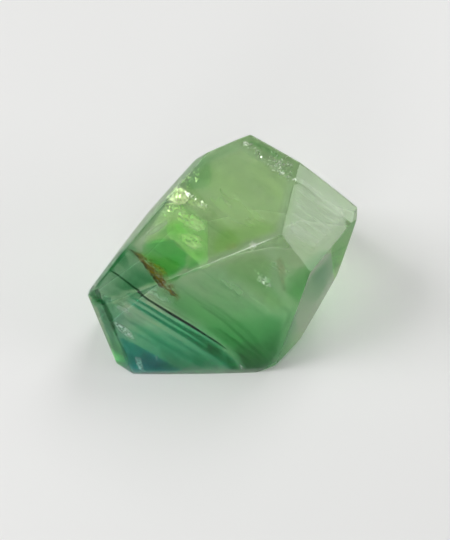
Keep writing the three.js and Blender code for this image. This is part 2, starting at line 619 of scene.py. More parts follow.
def resample(line, width, step):
    line = [np.array(p, float) for p in line]
    w = list(width) if hasattr(width, "__len__") else [float(width)] * len(line)
    seg = [np.linalg.norm(b - a) for a, b in zip(line, line[1:])]
    cum = np.concatenate([[0], np.cumsum(seg)])
    n = max(2, int(round(cum[-1] / step)))
    s = np.linspace(0, cum[-1], n + 1)
    u = np.interp(s, cum, [p[0] for p in line])
    v = np.interp(s, cum, [p[1] for p in line])
    ww = np.interp(s, cum, w)
    for _ in range(2):  # ease the corners
        u[1:-1] = 0.25 * u[:-2] + 0.5 * u[1:-1] + 0.25 * u[2:]
        v[1:-1] = 0.25 * v[:-2] + 0.5 * v[1:-1] + 0.25 * v[2:]
    return s, u, v, ww


def ribbon(name, line, width, near, thick, mat, soft=1.2, ends=(12, 12), n_across=6, step=4.0, relief=None):
    """A closed band inside the stone along line, thickest along its middle. soft near 0.3 gives a
    crisp band, 2 a hazy one; ends are the lengths over which it fades out."""
    s, u, v, ww = resample(line, width, step)
    n = len(s)
    tf = thick if callable(thick) else (lambda a, b: thick)
    nf = near if callable(near) else (lambda a, b: near)
    face = facet_seen(u[n // 2], v[n // 2])
    top, bot, verts = {}, {}, []
    for i in range(n):
        i0, i1 = max(0, i - 1), min(n - 1, i + 1)
        t = unit([u[i1] - u[i0], v[i1] - v[i0]])
        if not fits(u[i], v[i], face):
            w = unit([u[n // 2] - u[i], v[n // 2] - v[i]])
            side = np.array([-t[1], t[0]]) * (1 if (222 - u[i]) * -t[1] + (262 - v[i]) * t[0] > 0 else -1)
            u[i], v[i] = pull_in(u[i], v[i], face, (u[i] + 9 * side[0], v[i] + 9 * side[1]))
        e = 1.0
        if ends[0] > 0:
            e *= smooth01(s[i] / ends[0])
        if ends[1] > 0:
            e *= smooth01((s[-1] - s[i]) / ends[1])
        for j in range(n_across + 1):
            x = -1 + 2 * j / n_across
            uu, vv = pull_in(u[i] - t[1] * x * ww[i] / 2, v[i] + t[0] * x * ww[i] / 2, face, (u[i], v[i]))
            rim = i in (0, n - 1) or j in (0, n_across)
            k = (max(0.0, 1 - x * x) ** soft) * e
            if relief is not None:
                k *= max(0.0, relief(uu, vv))
            th = tf(uu, vv)
            a, b = span(uu, vv, nf(uu, vv) + 0.5 * th * (1 - k), max(0.02, th * k), face)
            if rim:
                a = (a + b) / 2
            verts.append(a)
            top[i, j] = len(verts) - 1
            if not rim:
                verts.append(b)
            bot[i, j] = len(verts) - 1
    faces = []
    for i in range(n - 1):
        for j in range(n_across):
            q = [(i, j), (i + 1, j), (i + 1, j + 1), (i, j + 1)]
            if (i, j + 1) == (0, n_across) or (i + 1, j) == (n - 1, 0):
                q = q[1:] + q[:1]
            for c in ((q[0], q[1], q[2]), (q[0], q[2], q[3])):
                if any(top[k] != bot[k] for k in c):
                    faces.append(tuple(top[k] for k in c))
                    faces.append(tuple(bot[k] for k in reversed(c)))
    return close_up(mesh_from(name, verts, faces), mat)


KEY_AZ, KEY_EL, KEY_DIST = math.radians(-100.0), math.radians(44.0), 0.98


def from_az_el(az, el):
    return np.array([math.sin(az) * math.cos(el), -math.cos(az) * math.cos(el), math.sin(el)])


def flash_direction(p):
    """The direction inside the stone, from p, that leads out to the key light."""
    sun = from_az_el(KEY_AZ, KEY_EL)
    best = None
    for f in range(len(D)):
        c = float(sun @ N[f])
        if c <= 0.05:
            continue
        d = unit(sun / IOR + (math.sqrt(1 - (1 - c * c) / IOR**2) - c / IOR) * N[f])
        dn = N @ d
        t = [((D[i] - N[i] @ p) / dn[i], i) for i in range(len(D)) if dn[i] > 1e-6]
        if min(t)[1] == f and (best is None or c > best[0]):
            best = (c, d)
    return best[1] if best else unit(sun)


def flakes(name, poly, depth, count, size, tilt, mat, layers=1.0, long=1.0):
    """A crack made of many small facets that lie near the angle at which it flashes."""
    face = facet_seen(*np.mean(poly, axis=0))
    lo, hi = np.min(poly, axis=0), np.max(poly, axis=0)
    verts, faces = [], []
    made = tries = 0
    while made < count and tries < count * 30:
        tries += 1
        u, v = RNG.uniform(lo[0], hi[0]), RNG.uniform(lo[1], hi[1])
        if poly_distance(poly, u, v) < 0.3 or not fits(u, v, face):
            continue
        p, d, first, last = chord(u, v, face)
        p = p + d * min(first + depth + RNG.uniform(0, layers), last - 0.05)
        n = unit(flash_direction(p) - d)
        n = unit(n + RNG.normal(0, math.tan(math.radians(tilt)), 3))
        a = unit(np.cross(n, RNG.normal(0, 1, 3)) + 0.8 * np.cross(n, np.cross((0.8, -0.6, 0), n)) * (long > 1))
        b = np.cross(n, a)
        r = size * RNG.uniform(0.5, 1.3)
        if np.min(D - 0.15 - N @ p) < r * long:
            r = max(0.06, float(np.min(D - 0.15 - N @ p)) / long)
        k = int(RNG.integers(4, 7))
        i0 = len(verts)
        for j in range(k):
            th = 2 * math.pi * (j + RNG.uniform(-0.3, 0.3)) / k
            q = r * RNG.uniform(0.6, 1.0)
            verts.append(p + a * math.cos(th) * q * long + b * math.sin(th) * q)
        faces.append(tuple(range(i0, i0 + k)))
        made += 1
    ob = mesh_from(name, verts, faces)
    ob.data.materials.append(mat)
    return ob


def dress_sheet(ob, verts, fade, mat, poly=None, face=None):
    """Give a sheet its fade-out and its grain: millimetre coordinates whose first axis runs
    along the growth bands."""
    a, b, n = np.eye(3)
    if poly is not None:
        c = np.mean(poly, axis=0)
        at = []
        for k in (-4, 4):
            e, d, first, last = chord(c[0] + 0.83 * k, c[1] + 0.56 * k, face)
            at.append(e + d * (first + 1.0))
        a = unit(at[1] - at[0])
        n = N[face]
        b = unit(np.cross(n, a))
        n = np.cross(a, b)
    me = ob.data
    me.attributes.new("fade", "FLOAT", "POINT").data.foreach_set("value", fade)
    grain = [x for p in verts for x in (float(p @ a), float(p @ b), float(p @ n))]
    me.attributes.new("grain", "FLOAT_VECTOR", "POINT").data.foreach_set("vector", grain)
    me.materials.append(mat)
    return ob


def glow(name, poly, depth, feather, mat, grid=3.0, lean=1.0):
    """A thin flaw leaning towards the angle at which it lights up, fading out at its outline."""
    face = facet_seen(*np.mean(poly, axis=0))
    c, d, first, last = chord(*np.mean(poly, axis=0), face)
    at = c + d * (first + depth)
    n = unit(lean * flash_direction(at) - d)
    vv, ff, poly = sheet_grid(poly, grid, face)
    verts, fade = [], []
    for p in vv:
        e, d, first, last = chord(p.x, p.y, face)
        t = float((at - e) @ n) / float(d @ n)
        verts.append(e + d * min(max(t, first + 0.1), last))
        fade.append(smooth01(poly_distance(poly, p.x, p.y) / feather))
    return dress_sheet(mesh_from(name, verts, [tuple(f) for f in ff]), verts, fade, mat, poly, face)


def edge_wear_and_highlight(name, f1, f2, t0, t1, half, mat, middle=0.5, lift=0.012):
    """Fine frosting along the rounded edge between two facets, just proud of the stone; given a bright metallic finish
    it also serves as a painted highlight along that edge.
    """
    pair = {INDEX[f1], INDEX[f2]}
    (x, y), fs = next((e, f) for e, f in BODY.edges.items() if set(f) == pair)
    fs = [INDEX[f1], INDEX[f2]]
    a, b = BODY.pts[x], BODY.pts[y]
    if a[0] > b[0]:
        a, b = b, a
    n = max(6, int(np.linalg.norm(b - a) * abs(t1 - t0) / 0.5))
    verts, fade = [], []
    for i in range(n + 1):
        t = t0 + (t1 - t0) * i / n
        p = BODY.settle(fs, a + (b - a) * t)
        na, nb = BODY.normal(fs[0], p), BODY.normal(fs[1], p)
        h = half(t) if callable(half) else half
        for j in range(5):
            k = slerp(na, nb, middle + h * (j - 2) / 2)
            verts.append(p + (EDGE_RADIUS + lift) * k)
            fade.append((1 - abs(j - 2) / 2) ** 0.5 * smooth01(4 * i / n) * smooth01(4 * (n - i) / n))
    faces = [
        (i * 5 + j, i * 5 + j + 1, i * 5 + j + 6, i * 5 + j + 5) for i in range(n) for j in range(4)
    ]
    return dress_sheet(mesh_from(name, verts, faces, smooth=True), verts, fade, mat)


def flake_material(name, colour, roughness, metallic, alpha=1.0):
    m, nt, b, out = new_material(name)
    b.inputs["Alpha"].default_value = alpha
    b.inputs["Base Color"].default_value = (*colour, 1)
    b.inputs["Metallic"].default_value = metallic
    b.inputs["Roughness"].default_value = roughness
    return m


def strip(line, width):
    """The outline of a band of this width along line; width may be a list, one per point."""
    line = [np.array(p, float) for p in line]
    w = width if hasattr(width, "__len__") else [width] * len(line)
    left, right = [], []
    for i, p in enumerate(line):
        t = unit(line[min(i + 1, len(line) - 1)] - line[max(i - 1, 0)])
        n = np.array([-t[1], t[0]])
        left.append(tuple(p + n * w[i] / 2))
        right.append(tuple(p - n * w[i] / 2))
    return left + right[::-1]


def veil_material(name, colour, alpha, size_mm, low, high, stretch=1.0, detail=4.0, roughness=0.6, seed=0.0, metallic=0.0, turn=0.0, distortion=0.3, shine=1.3):
    """A milky or cracked sheet: mostly see-through, with procedural patches that scatter light."""
    m, nt, b, out = new_material(name)
    b.inputs["Base Color"].default_value = (*colour, 1)
    b.inputs["Roughness"].default_value = roughness
    b.inputs["Metallic"].default_value = metallic
    b.inputs["IOR"].default_value = shine
    tc = nt.nodes.new("ShaderNodeAttribute")
    tc.attribute_name = "grain"
    mp = nt.nodes.new("ShaderNodeMapping")
    mp.inputs["Rotation"].default_value = (0, 0, turn)
    k = 1.0 / size_mm
    mp.inputs["Scale"].default_value = (k / stretch, k, k)
    mp.inputs["Location"].default_value = (seed, seed * 1.7, 0)
    nz = nt.nodes.new("ShaderNodeTexNoise")
    nz.inputs["Scale"].default_value = 1.0
    nz.inputs["Detail"].default_value = detail
    nz.inputs["Roughness"].default_value = 0.6
    nz.inputs["Distortion"].default_value = distortion
    rg = nt.nodes.new("ShaderNodeMapRange")
    rg.interpolation_type = "SMOOTHSTEP"
    rg.inputs["From Min"].default_value = low
    rg.inputs["From Max"].default_value = high
    rg.inputs["To Min"].default_value = 0.0
    rg.inputs["To Max"].default_value = alpha
    at = nt.nodes.new("ShaderNodeAttribute")
    at.attribute_name = "fade"
    mu = nt.nodes.new("ShaderNodeMath")
    mu.operation = "MULTIPLY"
    nt.links.new(tc.outputs["Vector"], mp.inputs["Vector"])
    nt.links.new(mp.outputs[0], nz.inputs["Vector"])
    nt.links.new(nz.outputs[0], rg.inputs["Value"])
    nt.links.new(rg.outputs["Result"], mu.inputs[0])
    nt.links.new(at.outputs["Fac"], mu.inputs[1])
    nt.links.new(mu.outputs[0], b.inputs["Alpha"])
    return m


def veil(name, poly, depth, feather, mat, grid=4.0):
    """A thin sheet inside the stone at this depth, fading out towards its outline."""
    face = facet_seen(*np.mean(poly, axis=0))
    vv, ff, poly = sheet_grid(poly, grid, face)
    df = depth if callable(depth) else (lambda a, b: depth)
    verts, fade = [], []
    for p in vv:
        e, d, first, last = chord(p.x, p.y, face)
        verts.append(e + d * min(first + df(p.x, p.y), last))
        fade.append(smooth01(poly_distance(poly, p.x, p.y) / feather))
    me = mesh_from(name, verts, [tuple(f) for f in ff], smooth=True)
    return dress_sheet(me, verts, fade, mat, poly, face)


# ---- colour zones ---------------------------------------------------------------------------
LEAF = colour_zone("zone_leaf", (0.066, 0.018, 0.050))
FOOT = colour_zone("zone_foot", (0.28, 0.15, 0.22))
RIM = colour_zone("zone_rim", (0.85, 0.42, 0.66))
DEEP = colour_zone("zone_deep_emerald", (0.95, 0.24, 0.55))
EMERALD = colour_zone("zone_emerald", (0.150, 0.018, 0.135))
OLIVE = colour_zone("zone_olive", (0.055, 0.022, 0.100))
CITRINE = colour_zone("zone_citrine", (0.042, 0.004, 0.140))
SHOULDER = colour_zone("zone_shoulder", (0.190, 0.070, 0.115))
GREY_TEAL = colour_zone("zone_grey_teal", (0.118, 0.028, 0.042))
TEAL = colour_zone("zone_teal", (0.52, 0.085, 0.135))
BLUE = colour_zone("zone_blue", (0.95, 0.115, 0.056))
NIGHT = colour_zone("zone_night_green", (1.5, 1.0, 1.2))
LINE = colour_zone("zone_line", (0.16, 0.065, 0.120))
MOSS = colour_zone("zone_moss", (0.060, 0.018, 0.052))

# the front: green deepens towards the foot
FRONT = [(180, 276.8), (215, 263.8), (255, 249), (281, 240), (288, 247), (305, 269), (300, 290), (292, 318), (283, 345), (276, 362), (268, 370.2), (244, 371.2), (236, 360), (228, 350), (214, 340.5), (198, 330.5), (180, 320), (165, 309.5), (152, 300), (140, 291.5), (158, 284.5)]
add(lens("front_leaf", FRONT, 0.6, lambda u, v: ramp(u, (272, 1.0), (298, 0.5)) * ramp(v + 0.12 * (200 - u), (250, 1.2), (268, 4.4), (290, 7.4), (312, 12.4), (335, 19.5)), 9, LEAF, relief=lambda u, v: 1.0 + 0.45 * streak(u, v, 3.1, 70, 7)))
add(lens("front_left_green", [(148, 290.5), (163, 287), (184, 292), (204, 303), (216, 318), (224, 333), (206, 326), (186, 315.5), (166, 303.5), (154, 296.5)], 0.7, 2.0, 5, EMERALD, relief=lambda u, v: 1.0 + 0.6 * streak(u, v, 6.1, 60, 5)))
FRONT_FOOT = colour_zone("zone_front_foot", (0.28, 0.085, 0.19))
add(lens("front_foot", [(190, 322), (214, 322), (240, 317), (262, 314), (281, 308), (290, 316), (284, 338), (277, 356), (268, 370.2), (244, 371.2), (236, 360), (228, 350), (214, 340), (200, 331)], 0.8, lambda u, v: ramp(v, (312, 0.6), (330, 2.6), (342, 5.0), (360, 6.0)), 9, FRONT_FOOT, relief=lambda u, v: 1.0 + 0.5 * streak(u, v, 5.7, 60, 8)))
add(lens("front_rim", [(233, 346), (250, 342), (268, 338), (281, 333), (278, 352), (270.5, 367.5), (266, 370.3), (244, 371.4), (240, 362)], 0.25, lambda u, v: ramp(v, (340, 0.15), (352, 0.5), (368, 1.4)), 4, RIM, relief=lambda u, v: 1.0 + 0.5 * streak(u, v, 9.2, 40, 8)))

# soft growth lines in the green
for i, (line, w, th, soft) in enumerate([
    ([(196, 266), (205, 272), (215, 280), (232, 292)], [1.5, 2.2, 2.2, 1.5], 2.6, 1.0),
    ([(176, 284), (190, 296), (205, 305.5), (222, 316), (236, 327)], [2, 3, 3, 3.5, 3], 2.2, 1.2),
    ([(205, 300), (222, 311), (240, 325), (254, 338), (262, 350)], [2, 4, 5, 6, 5], 2.6, 1.4),
    ([(196, 303), (214, 314), (228, 324), (238, 334), (252, 347), (264, 357)], [2, 3, 4, 4, 5, 3], 4.5, 1.0),
    ([(215, 327), (226, 334), (240, 345), (252, 354), (262, 360)], [2, 3, 4, 4, 3], 4.0, 1.0),
    ([(232, 348), (242, 356), (252, 363)], [2, 3.5, 3], 5.0, 1.0),
    ([(150, 296.5), (162, 304), (176, 312.2), (190, 320.5), (204, 329)], [1.6, 2.2, 2.4, 2.2, 1.6], 3.6, 1.0),
    ([(222, 284), (240, 297), (256, 309), (270, 322)], [2, 5, 6, 5], 1.3, 1.6),
    ([(250, 262), (262, 274), (276, 290)], [3, 6, 5], 1.2, 1.6),
    ([(276, 312), (284, 306), (290, 312), (288, 322), (281, 330)], [3, 6, 7, 6, 4], 3.0, 1.2),
]):
    add(ribbon(f"growth_line_{i + 1}", line, w, 0.5, th, LINE, soft=soft))

# near-black growth line, broken by the ridge
add(ribbon("line_halo", [(158, 308), (172, 316.5), (186, 325), (198, 332), (210, 340), (224, 350)], [4, 7, 9, 10, 8, 6], 0.5, lambda u, v: ramp(u, (158, 0.8), (185, 2.2), (210, 2.6)), TEAL, soft=1.4, ends=(14, 6)))
add(ribbon("line_dark_upper", [(109, 268.6), (118, 274.2), (127, 281), (134, 286.6), (138, 290.2)], [1.5, 1.9, 2.2, 2.4, 2.5], 0.35, 1.6, NIGHT, soft=0.6, ends=(8, 0.5), step=3))
add(ribbon("line_dark_lower", [(136.5, 289.6), (140.5, 293.8), (146, 298.4), (152, 302), (160, 307), (172, 314.4), (184, 321.6), (196, 328.8), (203, 333.4), (212, 339), (221, 345), (229, 351)], [2.4, 2.6, 2.6, 2.5, 2.7, 3.1, 3.0, 2.8, 2.4, 2.2, 2.0, 1.5], 0.35, lambda u, v: ramp(u, (139, 1.8), (155, 2.6), (175, 4.0), (198, 3.6), (212, 2.0), (228, 1.4)), NIGHT, soft=0.5, ends=(0.5, 10), step=3))

# the two teal bands that run out to the lower edge
add(ribbon("band_teal_upper", [(128, 296), (137, 300), (150, 307.5), (162, 315.2), (176, 323.6), (190, 331.8), (202, 339.3), (212, 346), (222, 353)], [2.4, 3.2, 3.6, 4.0, 4.6, 5.2, 6.0, 7, 6], 0.4, lambda u, v: ramp(u, (128, 4.0), (150, 6.5), (180, 10.5), (200, 11.5)), TEAL, soft=0.7, ends=(8, 8)))
add(ribbon("band_teal_lower", [(127, 299.8), (139, 307.5), (152, 315.5), (166, 324.2), (180, 332.4), (194, 341), (207, 349.5), (219, 358)], [2.2, 2.8, 3.2, 3.8, 4.4, 5, 5, 4], 0.4, lambda u, v: ramp(u, (128, 2.8), (150, 4.6), (175, 7.2), (200, 7.5)), TEAL, soft=0.7, ends=(8, 8)))
add(lens("band_between", [(126, 295), (140, 302), (158, 313), (176, 323.5), (196, 335), (212, 344), (226, 353), (236, 363), (233, 371), (222, 366), (206, 354), (188, 343), (170, 332), (152, 321.5), (136, 311.5), (124, 302.5)], 0.8, lambda u, v: ramp(u, (126, 1.6), (160, 2.6), (200, 4.0), (230, 5.0)), 4.5, TEAL))
add(lens("band_green_end", [(206, 342), (216, 346), (226, 351), (233.5, 357.5), (239, 364), (242, 371.2), (229, 371.5), (223, 364.5), (214, 355.5), (205, 349)], 0.3, 7.0, 3.5, TEAL, grid=3))
add(lens("band_end_rim", [(222, 351), (232, 357.5), (238.5, 365), (241, 371), (231, 371.4), (226, 363)], 0.2, 1.1, 3, RIM, grid=3))

# the pale field under the bands greys and darkens towards the foot
FIELD = [(108, 305), (118, 299.5), (127, 302.5), (140, 312), (156, 322), (174, 332.5), (192, 343), (208, 353), (220, 362), (228, 371.8), (186, 372.6), (140, 373.4), (133, 371), (126, 354), (117, 334)]
add(lens("field_grey", FIELD, 0.5, lambda u, v: ramp(0.75 * v + 0.32 * u, (268, 1.0), (285, 2.5), (300, 7.5), (320, 14.0)), 7, GREY_TEAL, relief=lambda u, v: 1.0 + 0.7 * streak(u, v, 12.4, 60, 4.5)))
add(lens("field_foot", [(150, 340), (170, 344), (190, 348), (206, 354), (219, 362), (227, 371.8), (186, 372.6), (150, 373.3), (146, 366), (160, 362), (158, 352)], 0.6, lambda u, v: ramp(v, (340, 0.2), (352, 0.8), (366, 1.4)), 6, FOOT, relief=lambda u, v: 1.0 + 0.8 * streak(u, v, 7.4, 50, 5)))
for i, (line, w, th, soft) in enumerate([
    ([(122, 318), (134, 324), (148, 332.5), (166, 343), (186, 354)], [2, 4, 6, 7, 6], 1.5, 1.6),
    ([(124, 327), (136, 333.5), (150, 341), (170, 353), (184, 364)], [2, 3, 5, 6, 5], 1.7, 1.4),
    ([(120, 304.5), (134, 313), (150, 323), (170, 335), (190, 348)], [1.5, 2, 2.5, 3, 3], 1.3, 1.2),
    ([(146, 334), (160, 342), (176, 351), (196, 362)], [4, 7, 8, 7], 2.2, 1.6),
    ([(160, 332), (176, 341), (192, 350), (206, 360)], [2, 3, 4, 4], 2.0, 1.2),
    ([(188, 356), (197, 361), (206, 365)], [6, 10, 7], 4.5, 1.2),
]):
    add(ribbon(f"field_stripe_{i + 1}", line, w, 0.5, th, TEAL, soft=soft))

# blue corner
add(lens("blue_corner", [(118.5, 335.5), (127, 339), (138, 344.5), (150, 351), (162, 358), (172, 364), (184, 368.5), (188, 372.2), (160, 373.1), (133, 373.5), (129, 365), (124, 352)], 0.25, lambda u, v: ramp(v + 0.2 * (u - 150), (332, 3.2), (350, 4.4), (362, 7.0)), 1.6, BLUE, grid=3))
add(lens("blue_corner_deep", [(140, 350), (152, 354), (163, 361), (176, 367), (183, 372.4), (150, 373.2), (146, 366), (141, 359)], 0.25, 3.0, 4.0, BLUE, grid=3))

# upper left: teal shoulder
add(lens("shoulder", [(96.5, 285.5), (104, 276), (113, 264), (124, 252), (131, 250.5), (139, 257), (147, 264), (155, 272), (162, 280.6), (146, 286.8), (134, 291.2), (120, 296.5), (106, 301.5)], 0.4, lambda u, v: 3.0 + 7.0 * math.exp(-((u - 143) ** 2 + (v - 282) ** 2) / 190.0) + 3.2 * math.exp(-((u - 122) ** 2 / 160.0 + (v - 289) ** 2 / 50.0)), 2.5, SHOULDER, relief=lambda u, v: 1.0 + 0.6 * streak(u, v, 8.2, 40, 6)))
add(lens("shoulder_bevel", [(93.5, 284.5), (104, 270.5), (116, 255.5), (128, 240.5), (133.5, 241.5), (126.5, 250), (113, 264.5), (103, 276), (97, 284.5)], 0.25, 7.0, 1.2, SHOULDER, grid=3))
add(ribbon("shoulder_edge", [(125.5, 246), (116, 257), (108, 266.5), (100, 276.5), (95, 284)], [2.0, 2.4, 3.0, 4.0, 4.6], 0.25, 1.8, DEEP, soft=0.8, ends=(5, 4), step=3))
add(ribbon("edge_line", [(197, 162), (187, 175), (176, 189.5), (167, 201), (154, 216.5), (142.5, 230.5), (132, 244.5)], [1.8, 2.0, 2.0, 2.0, 2.0, 2.0, 2.2], 0.3, 3.4, LINE, soft=0.8, ends=(6, 2), step=3))
add(lens("wedge_teal", [(105, 304), (120, 298.5), (134, 293), (139, 292), (152, 300), (146, 303), (134, 301), (126, 303), (119, 314), (113, 312)], 0.5, 3.4, 2.2, SHOULDER, grid=3))

# emerald block with its olive corner
EMER = [(141, 246), (150, 240), (162, 236), (172, 238), (181, 246), (189.5, 253.5), (188, 263), (183, 271), (175, 277), (166, 279.8), (157, 273.5), (148, 264), (139, 254.5)]
BLOCK = colour_zone("zone_block", (0.150, 0.020, 0.108))
add(lens("block_emerald", EMER, 0.8, lambda u, v: 7.0 * ramp(u - 0.6 * (v - 240), (130, 0.35), (146, 0.8), (165, 1.0)), 2.2, BLOCK, relief=lambda u, v: 1.0 + 0.5 * streak(u, v, 4.4, 40, 3)))
add(lens("block_olive", [(134, 251), (146, 250), (160, 256), (172, 257), (182, 262), (180, 272), (172, 277), (164, 280), (156, 273), (148, 265), (140, 257.5)], 1.0, 8.0, 4, OLIVE))
add(ribbon("block_line_1", [(147, 246), (160, 254), (174, 262), (186, 269)], [2.5, 3.5, 4, 3], 0.7, 3.0, LINE, soft=1.2))
add(ribbon("block_line_2", [(146, 256), (157, 264), (168, 271), (176, 275.5)], [2.5, 4, 4, 3], 0.7, 3.0, LINE, soft=1.2))
add(lens("upper_tint", [(203, 162), (216, 157), (240, 146.5), (262, 160), (290, 177.5), (285, 205), (278.5, 231), (255, 241.5), (225, 252.5), (195, 263.5), (165, 274), (152, 262), (142, 249), (147, 236), (161, 216), (178, 194), (192, 175)], 0.9, 1.5, 5, CITRINE, relief=lambda u, v: 1.0 + 0.4 * streak(u, v, 24.0, 60, 9)))
add(lens("block_bright", [(150, 236), (163, 226), (178, 218), (192, 214), (208, 222), (208.6, 240), (208.6, 263), (198, 267), (186, 271.5), (176, 275.5), (184, 268), (188, 255), (178, 245), (170, 237), (158, 238)], 1.5, 1.6, 2, EMERALD, relief=lambda u, v: 1.0 + 0.3 * streak(u, v, 6.6, 40, 7)))
add(lens("block_side", [(190, 254), (200, 262), (207, 263.5), (196, 268.5), (184, 272.5), (187, 262)], 0.8, 5.0, 4, EMERALD))
add(lens("top_dark_left", [(198, 160), (204, 156.4), (212, 154), (212, 166), (213, 178), (210, 188), (203, 190), (192, 191), (183, 184), (190, 174)], 0.5, 6.5, 3.5, MOSS, relief=lambda u, v: 1.3 + 0.8 * fbm(u, v, 9, 2.2)))
add(ribbon("rim_dark_top", [(206, 160.5), (216, 156), (229, 150.3), (239, 146)], [4.5, 5, 4, 2.5], 0.4, 5.0, MOSS, soft=0.8, ends=(3, 8)))
add(ribbon("rim_dark_right", [(247, 140), (258, 144.5), (270, 151), (284, 159)], [3, 5.5, 6, 4], 0.3, 7.0, MOSS, soft=0.9, ends=(6, 8)))
add(ribbon("left_edge_moss", [(190, 172), (178, 187.5), (165, 204), (152, 220), (140, 234)], [4, 4, 4, 6, 7], 0.4, lambda u, v: ramp(u, (140, 5.0), (155, 2.5), (170, 2.5), (185, 5.0)), MOSS, soft=1.0, ends=(10, 14), relief=lambda u, v: 1.0 + 0.9 * fbm(u, v, 9, 6.2)))
add(ribbon("zone_line", [(171, 200), (184, 208), (197, 216.6), (208, 224.6), (221, 233), (235, 241)], [2.0, 2.4, 2.4, 2.6, 3.0, 3.0], 0.6, 2.6, LINE, soft=1.0))
add(ribbon("zone_line_low", [(176, 238), (186, 245), (197, 253), (208, 262)], [2, 2.6, 2.6, 2], 0.6, 2.0, LINE, soft=1.0))
add(lens("right_olive", [(214, 232), (232, 222), (256, 218), (280, 222), (279, 235), (262, 241.5), (240, 249), (220, 257), (211, 258), (209, 245)], 1.0, 5.0, 9, OLIVE, relief=lambda u, v: 1.0 + 0.4 * streak(u, v, 14.0, 60, 9)))
add(lens("right_olive_front", [(220, 262), (245, 253), (262, 248), (276, 262), (272, 285), (284, 300), (290, 290), (296, 276), (298, 292), (288, 312), (270, 312), (246, 288), (226, 276)], 1.0, 3.5, 9, OLIVE))

PINE = colour_zone("zone_pine", (0.42, 0.14, 0.26))
# left end facet
add(lens("end_grey", [(95, 303), (102, 305.5), (108, 317), (114.5, 332), (121, 347.5), (130.5, 370.5), (124, 368.5), (117, 361), (111, 347), (103, 326)], 0.3, 5.6, 3, GREY_TEAL, grid=3, relief=lambda u, v: 3.0 + 0.6 * fbm(u, v, 12, 1.0)))
add(lens("end_dark", [(101, 299.5), (106, 301.5), (110.3, 308.5), (113.6, 317.5), (116.2, 327.5), (118.6, 337.5), (120.6, 346), (116.2, 339), (112.2, 329.5), (108.3, 319.5), (104.4, 309.5)], 0.3, 8.0, 1.0, PINE, grid=2))
add(lens("end_foot", [(107, 332), (116, 337), (123, 350), (131.5, 371), (124, 369), (117, 361.5), (111, 349)], 0.3, 3.4, 3.0, PINE, grid=3))
add(lens("end_emerald", [(94, 291.5), (98.2, 287.2), (101.6, 293.5), (102.2, 302), (98, 301)], 0.3, 7.5, 1.2, DEEP, grid=2))
EMERALD_FILM = veil_material("film_emerald", (0.02, 0.15, 0.05), 0.90, 2.0, 0.0, 0.2, seed=8.1, shine=1.0)
add(veil("film_tip", [(94.6, 290.5), (98, 287.6), (101.2, 293), (102, 301.8), (98.4, 300.6)], 0.05, 0.7, EMERALD_FILM, grid=1.2))

# right-hand wall
add(lens("wall_moss", [(309, 276), (318, 266), (330, 253), (342, 239), (350, 231), (346, 246), (337, 270), (330, 283), (318, 303), (304, 328), (290, 350), (279, 364), (275, 364), (284, 342), (294, 314), (302, 291)], 0.5, lambda u, v: ramp(v, (235, 2.5), (252, 4.0), (268, 11.0), (290, 10.0), (306, 3.0), (345, 0.5)), 3, MOSS, relief=lambda u, v: 1.2 + 0.5 * fbm(u, v, 22, 4.0)))
add(lens("right_low_olive", [(284, 240), (292, 234), (306, 236), (320, 242), (324, 252), (311, 268), (304, 262), (294, 252)], 0.6, 3.5, 10, OLIVE))
add(lens("wall_teal", [(311, 276), (318, 266.5), (327, 263), (329, 274), (324, 286), (314, 288)], 0.5, 2.6, 3, SHOULDER, grid=3))

# ---- veils and healed cracks ----------------------------------------------------------------
MILK = veil_material("veil_milk", (0.66, 0.86, 0.55), 0.34, 9.0, 0.30, 0.72, stretch=2.0, seed=1.3)
MILK_FINE = veil_material("veil_milk_fine", (0.72, 0.90, 0.62), 0.40, 3.0, 0.44, 0.74, stretch=2.6, seed=4.1)
UPPER = [(204, 161), (216, 156), (240, 145), (262, 159), (292, 177), (286, 205), (279, 232), (255, 244), (225, 255.5), (195, 266), (165, 277), (150, 262), (140, 250), (146, 236), (160, 216), (178, 193), (192, 174)]
add(veil("veil_upper_1", UPPER, lambda u, v: 3.0 + 0.02 * (v - 150), 6, MILK))
add(veil("veil_upper_2", UPPER, lambda u, v: 8.0 + 0.03 * (u - 150), 8, MILK))
add(veil("veil_upper_3", [(206, 164), (240, 150), (288, 180), (280, 228), (255, 240), (214, 252), (210, 220), (200, 200)], 13.0, 10, MILK))
add(veil("veil_upper_4", [(210, 160), (240, 146), (290, 176), (282, 222), (250, 236), (224, 226), (212, 200)], 5.0, 10, MILK_FINE))
STREAKY = veil_material("veil_streaky", (0.84, 0.97, 0.78), 0.58, 0.9, 0.20, 0.85, stretch=14.0, seed=3.4, detail=4, distortion=0.0)
add(veil("veil_right_1", [(297, 180), (302, 178), (318, 186), (338, 201), (347, 212), (345, 222), (330, 236), (312, 258), (300, 250), (285, 238), (289, 214)], 1.6, 6, STREAKY))
add(veil("veil_right_2", [(296, 184), (345, 206), (345, 222), (311, 264), (286, 240), (291, 208)], 5.0, 8, MILK))
add(veil("veil_front_1", [(186, 278), (220, 265), (262, 250), (284, 244), (300, 268), (294, 300), (270, 322), (240, 318), (205, 302)], 3.0, 12, MILK_FINE))

GREEN_GLOW = flake_material("crack_glow", (0.66, 1.0, 0.46), 0.55, 0.6, 0.30)
add(veil("veil_block", [(166, 226), (180, 216), (193, 212), (208, 221), (208.4, 240), (208, 263), (200, 266), (190, 256), (178, 244), (168, 236)], 3.0, 2.5, GREEN_GLOW, grid=3))
add(veil("veil_left", [(152, 226), (164, 207), (176, 204), (192, 212), (200, 222), (186, 238), (170, 240), (150, 244), (142, 244)], 3.5, 9, GREEN_GLOW, grid=3))

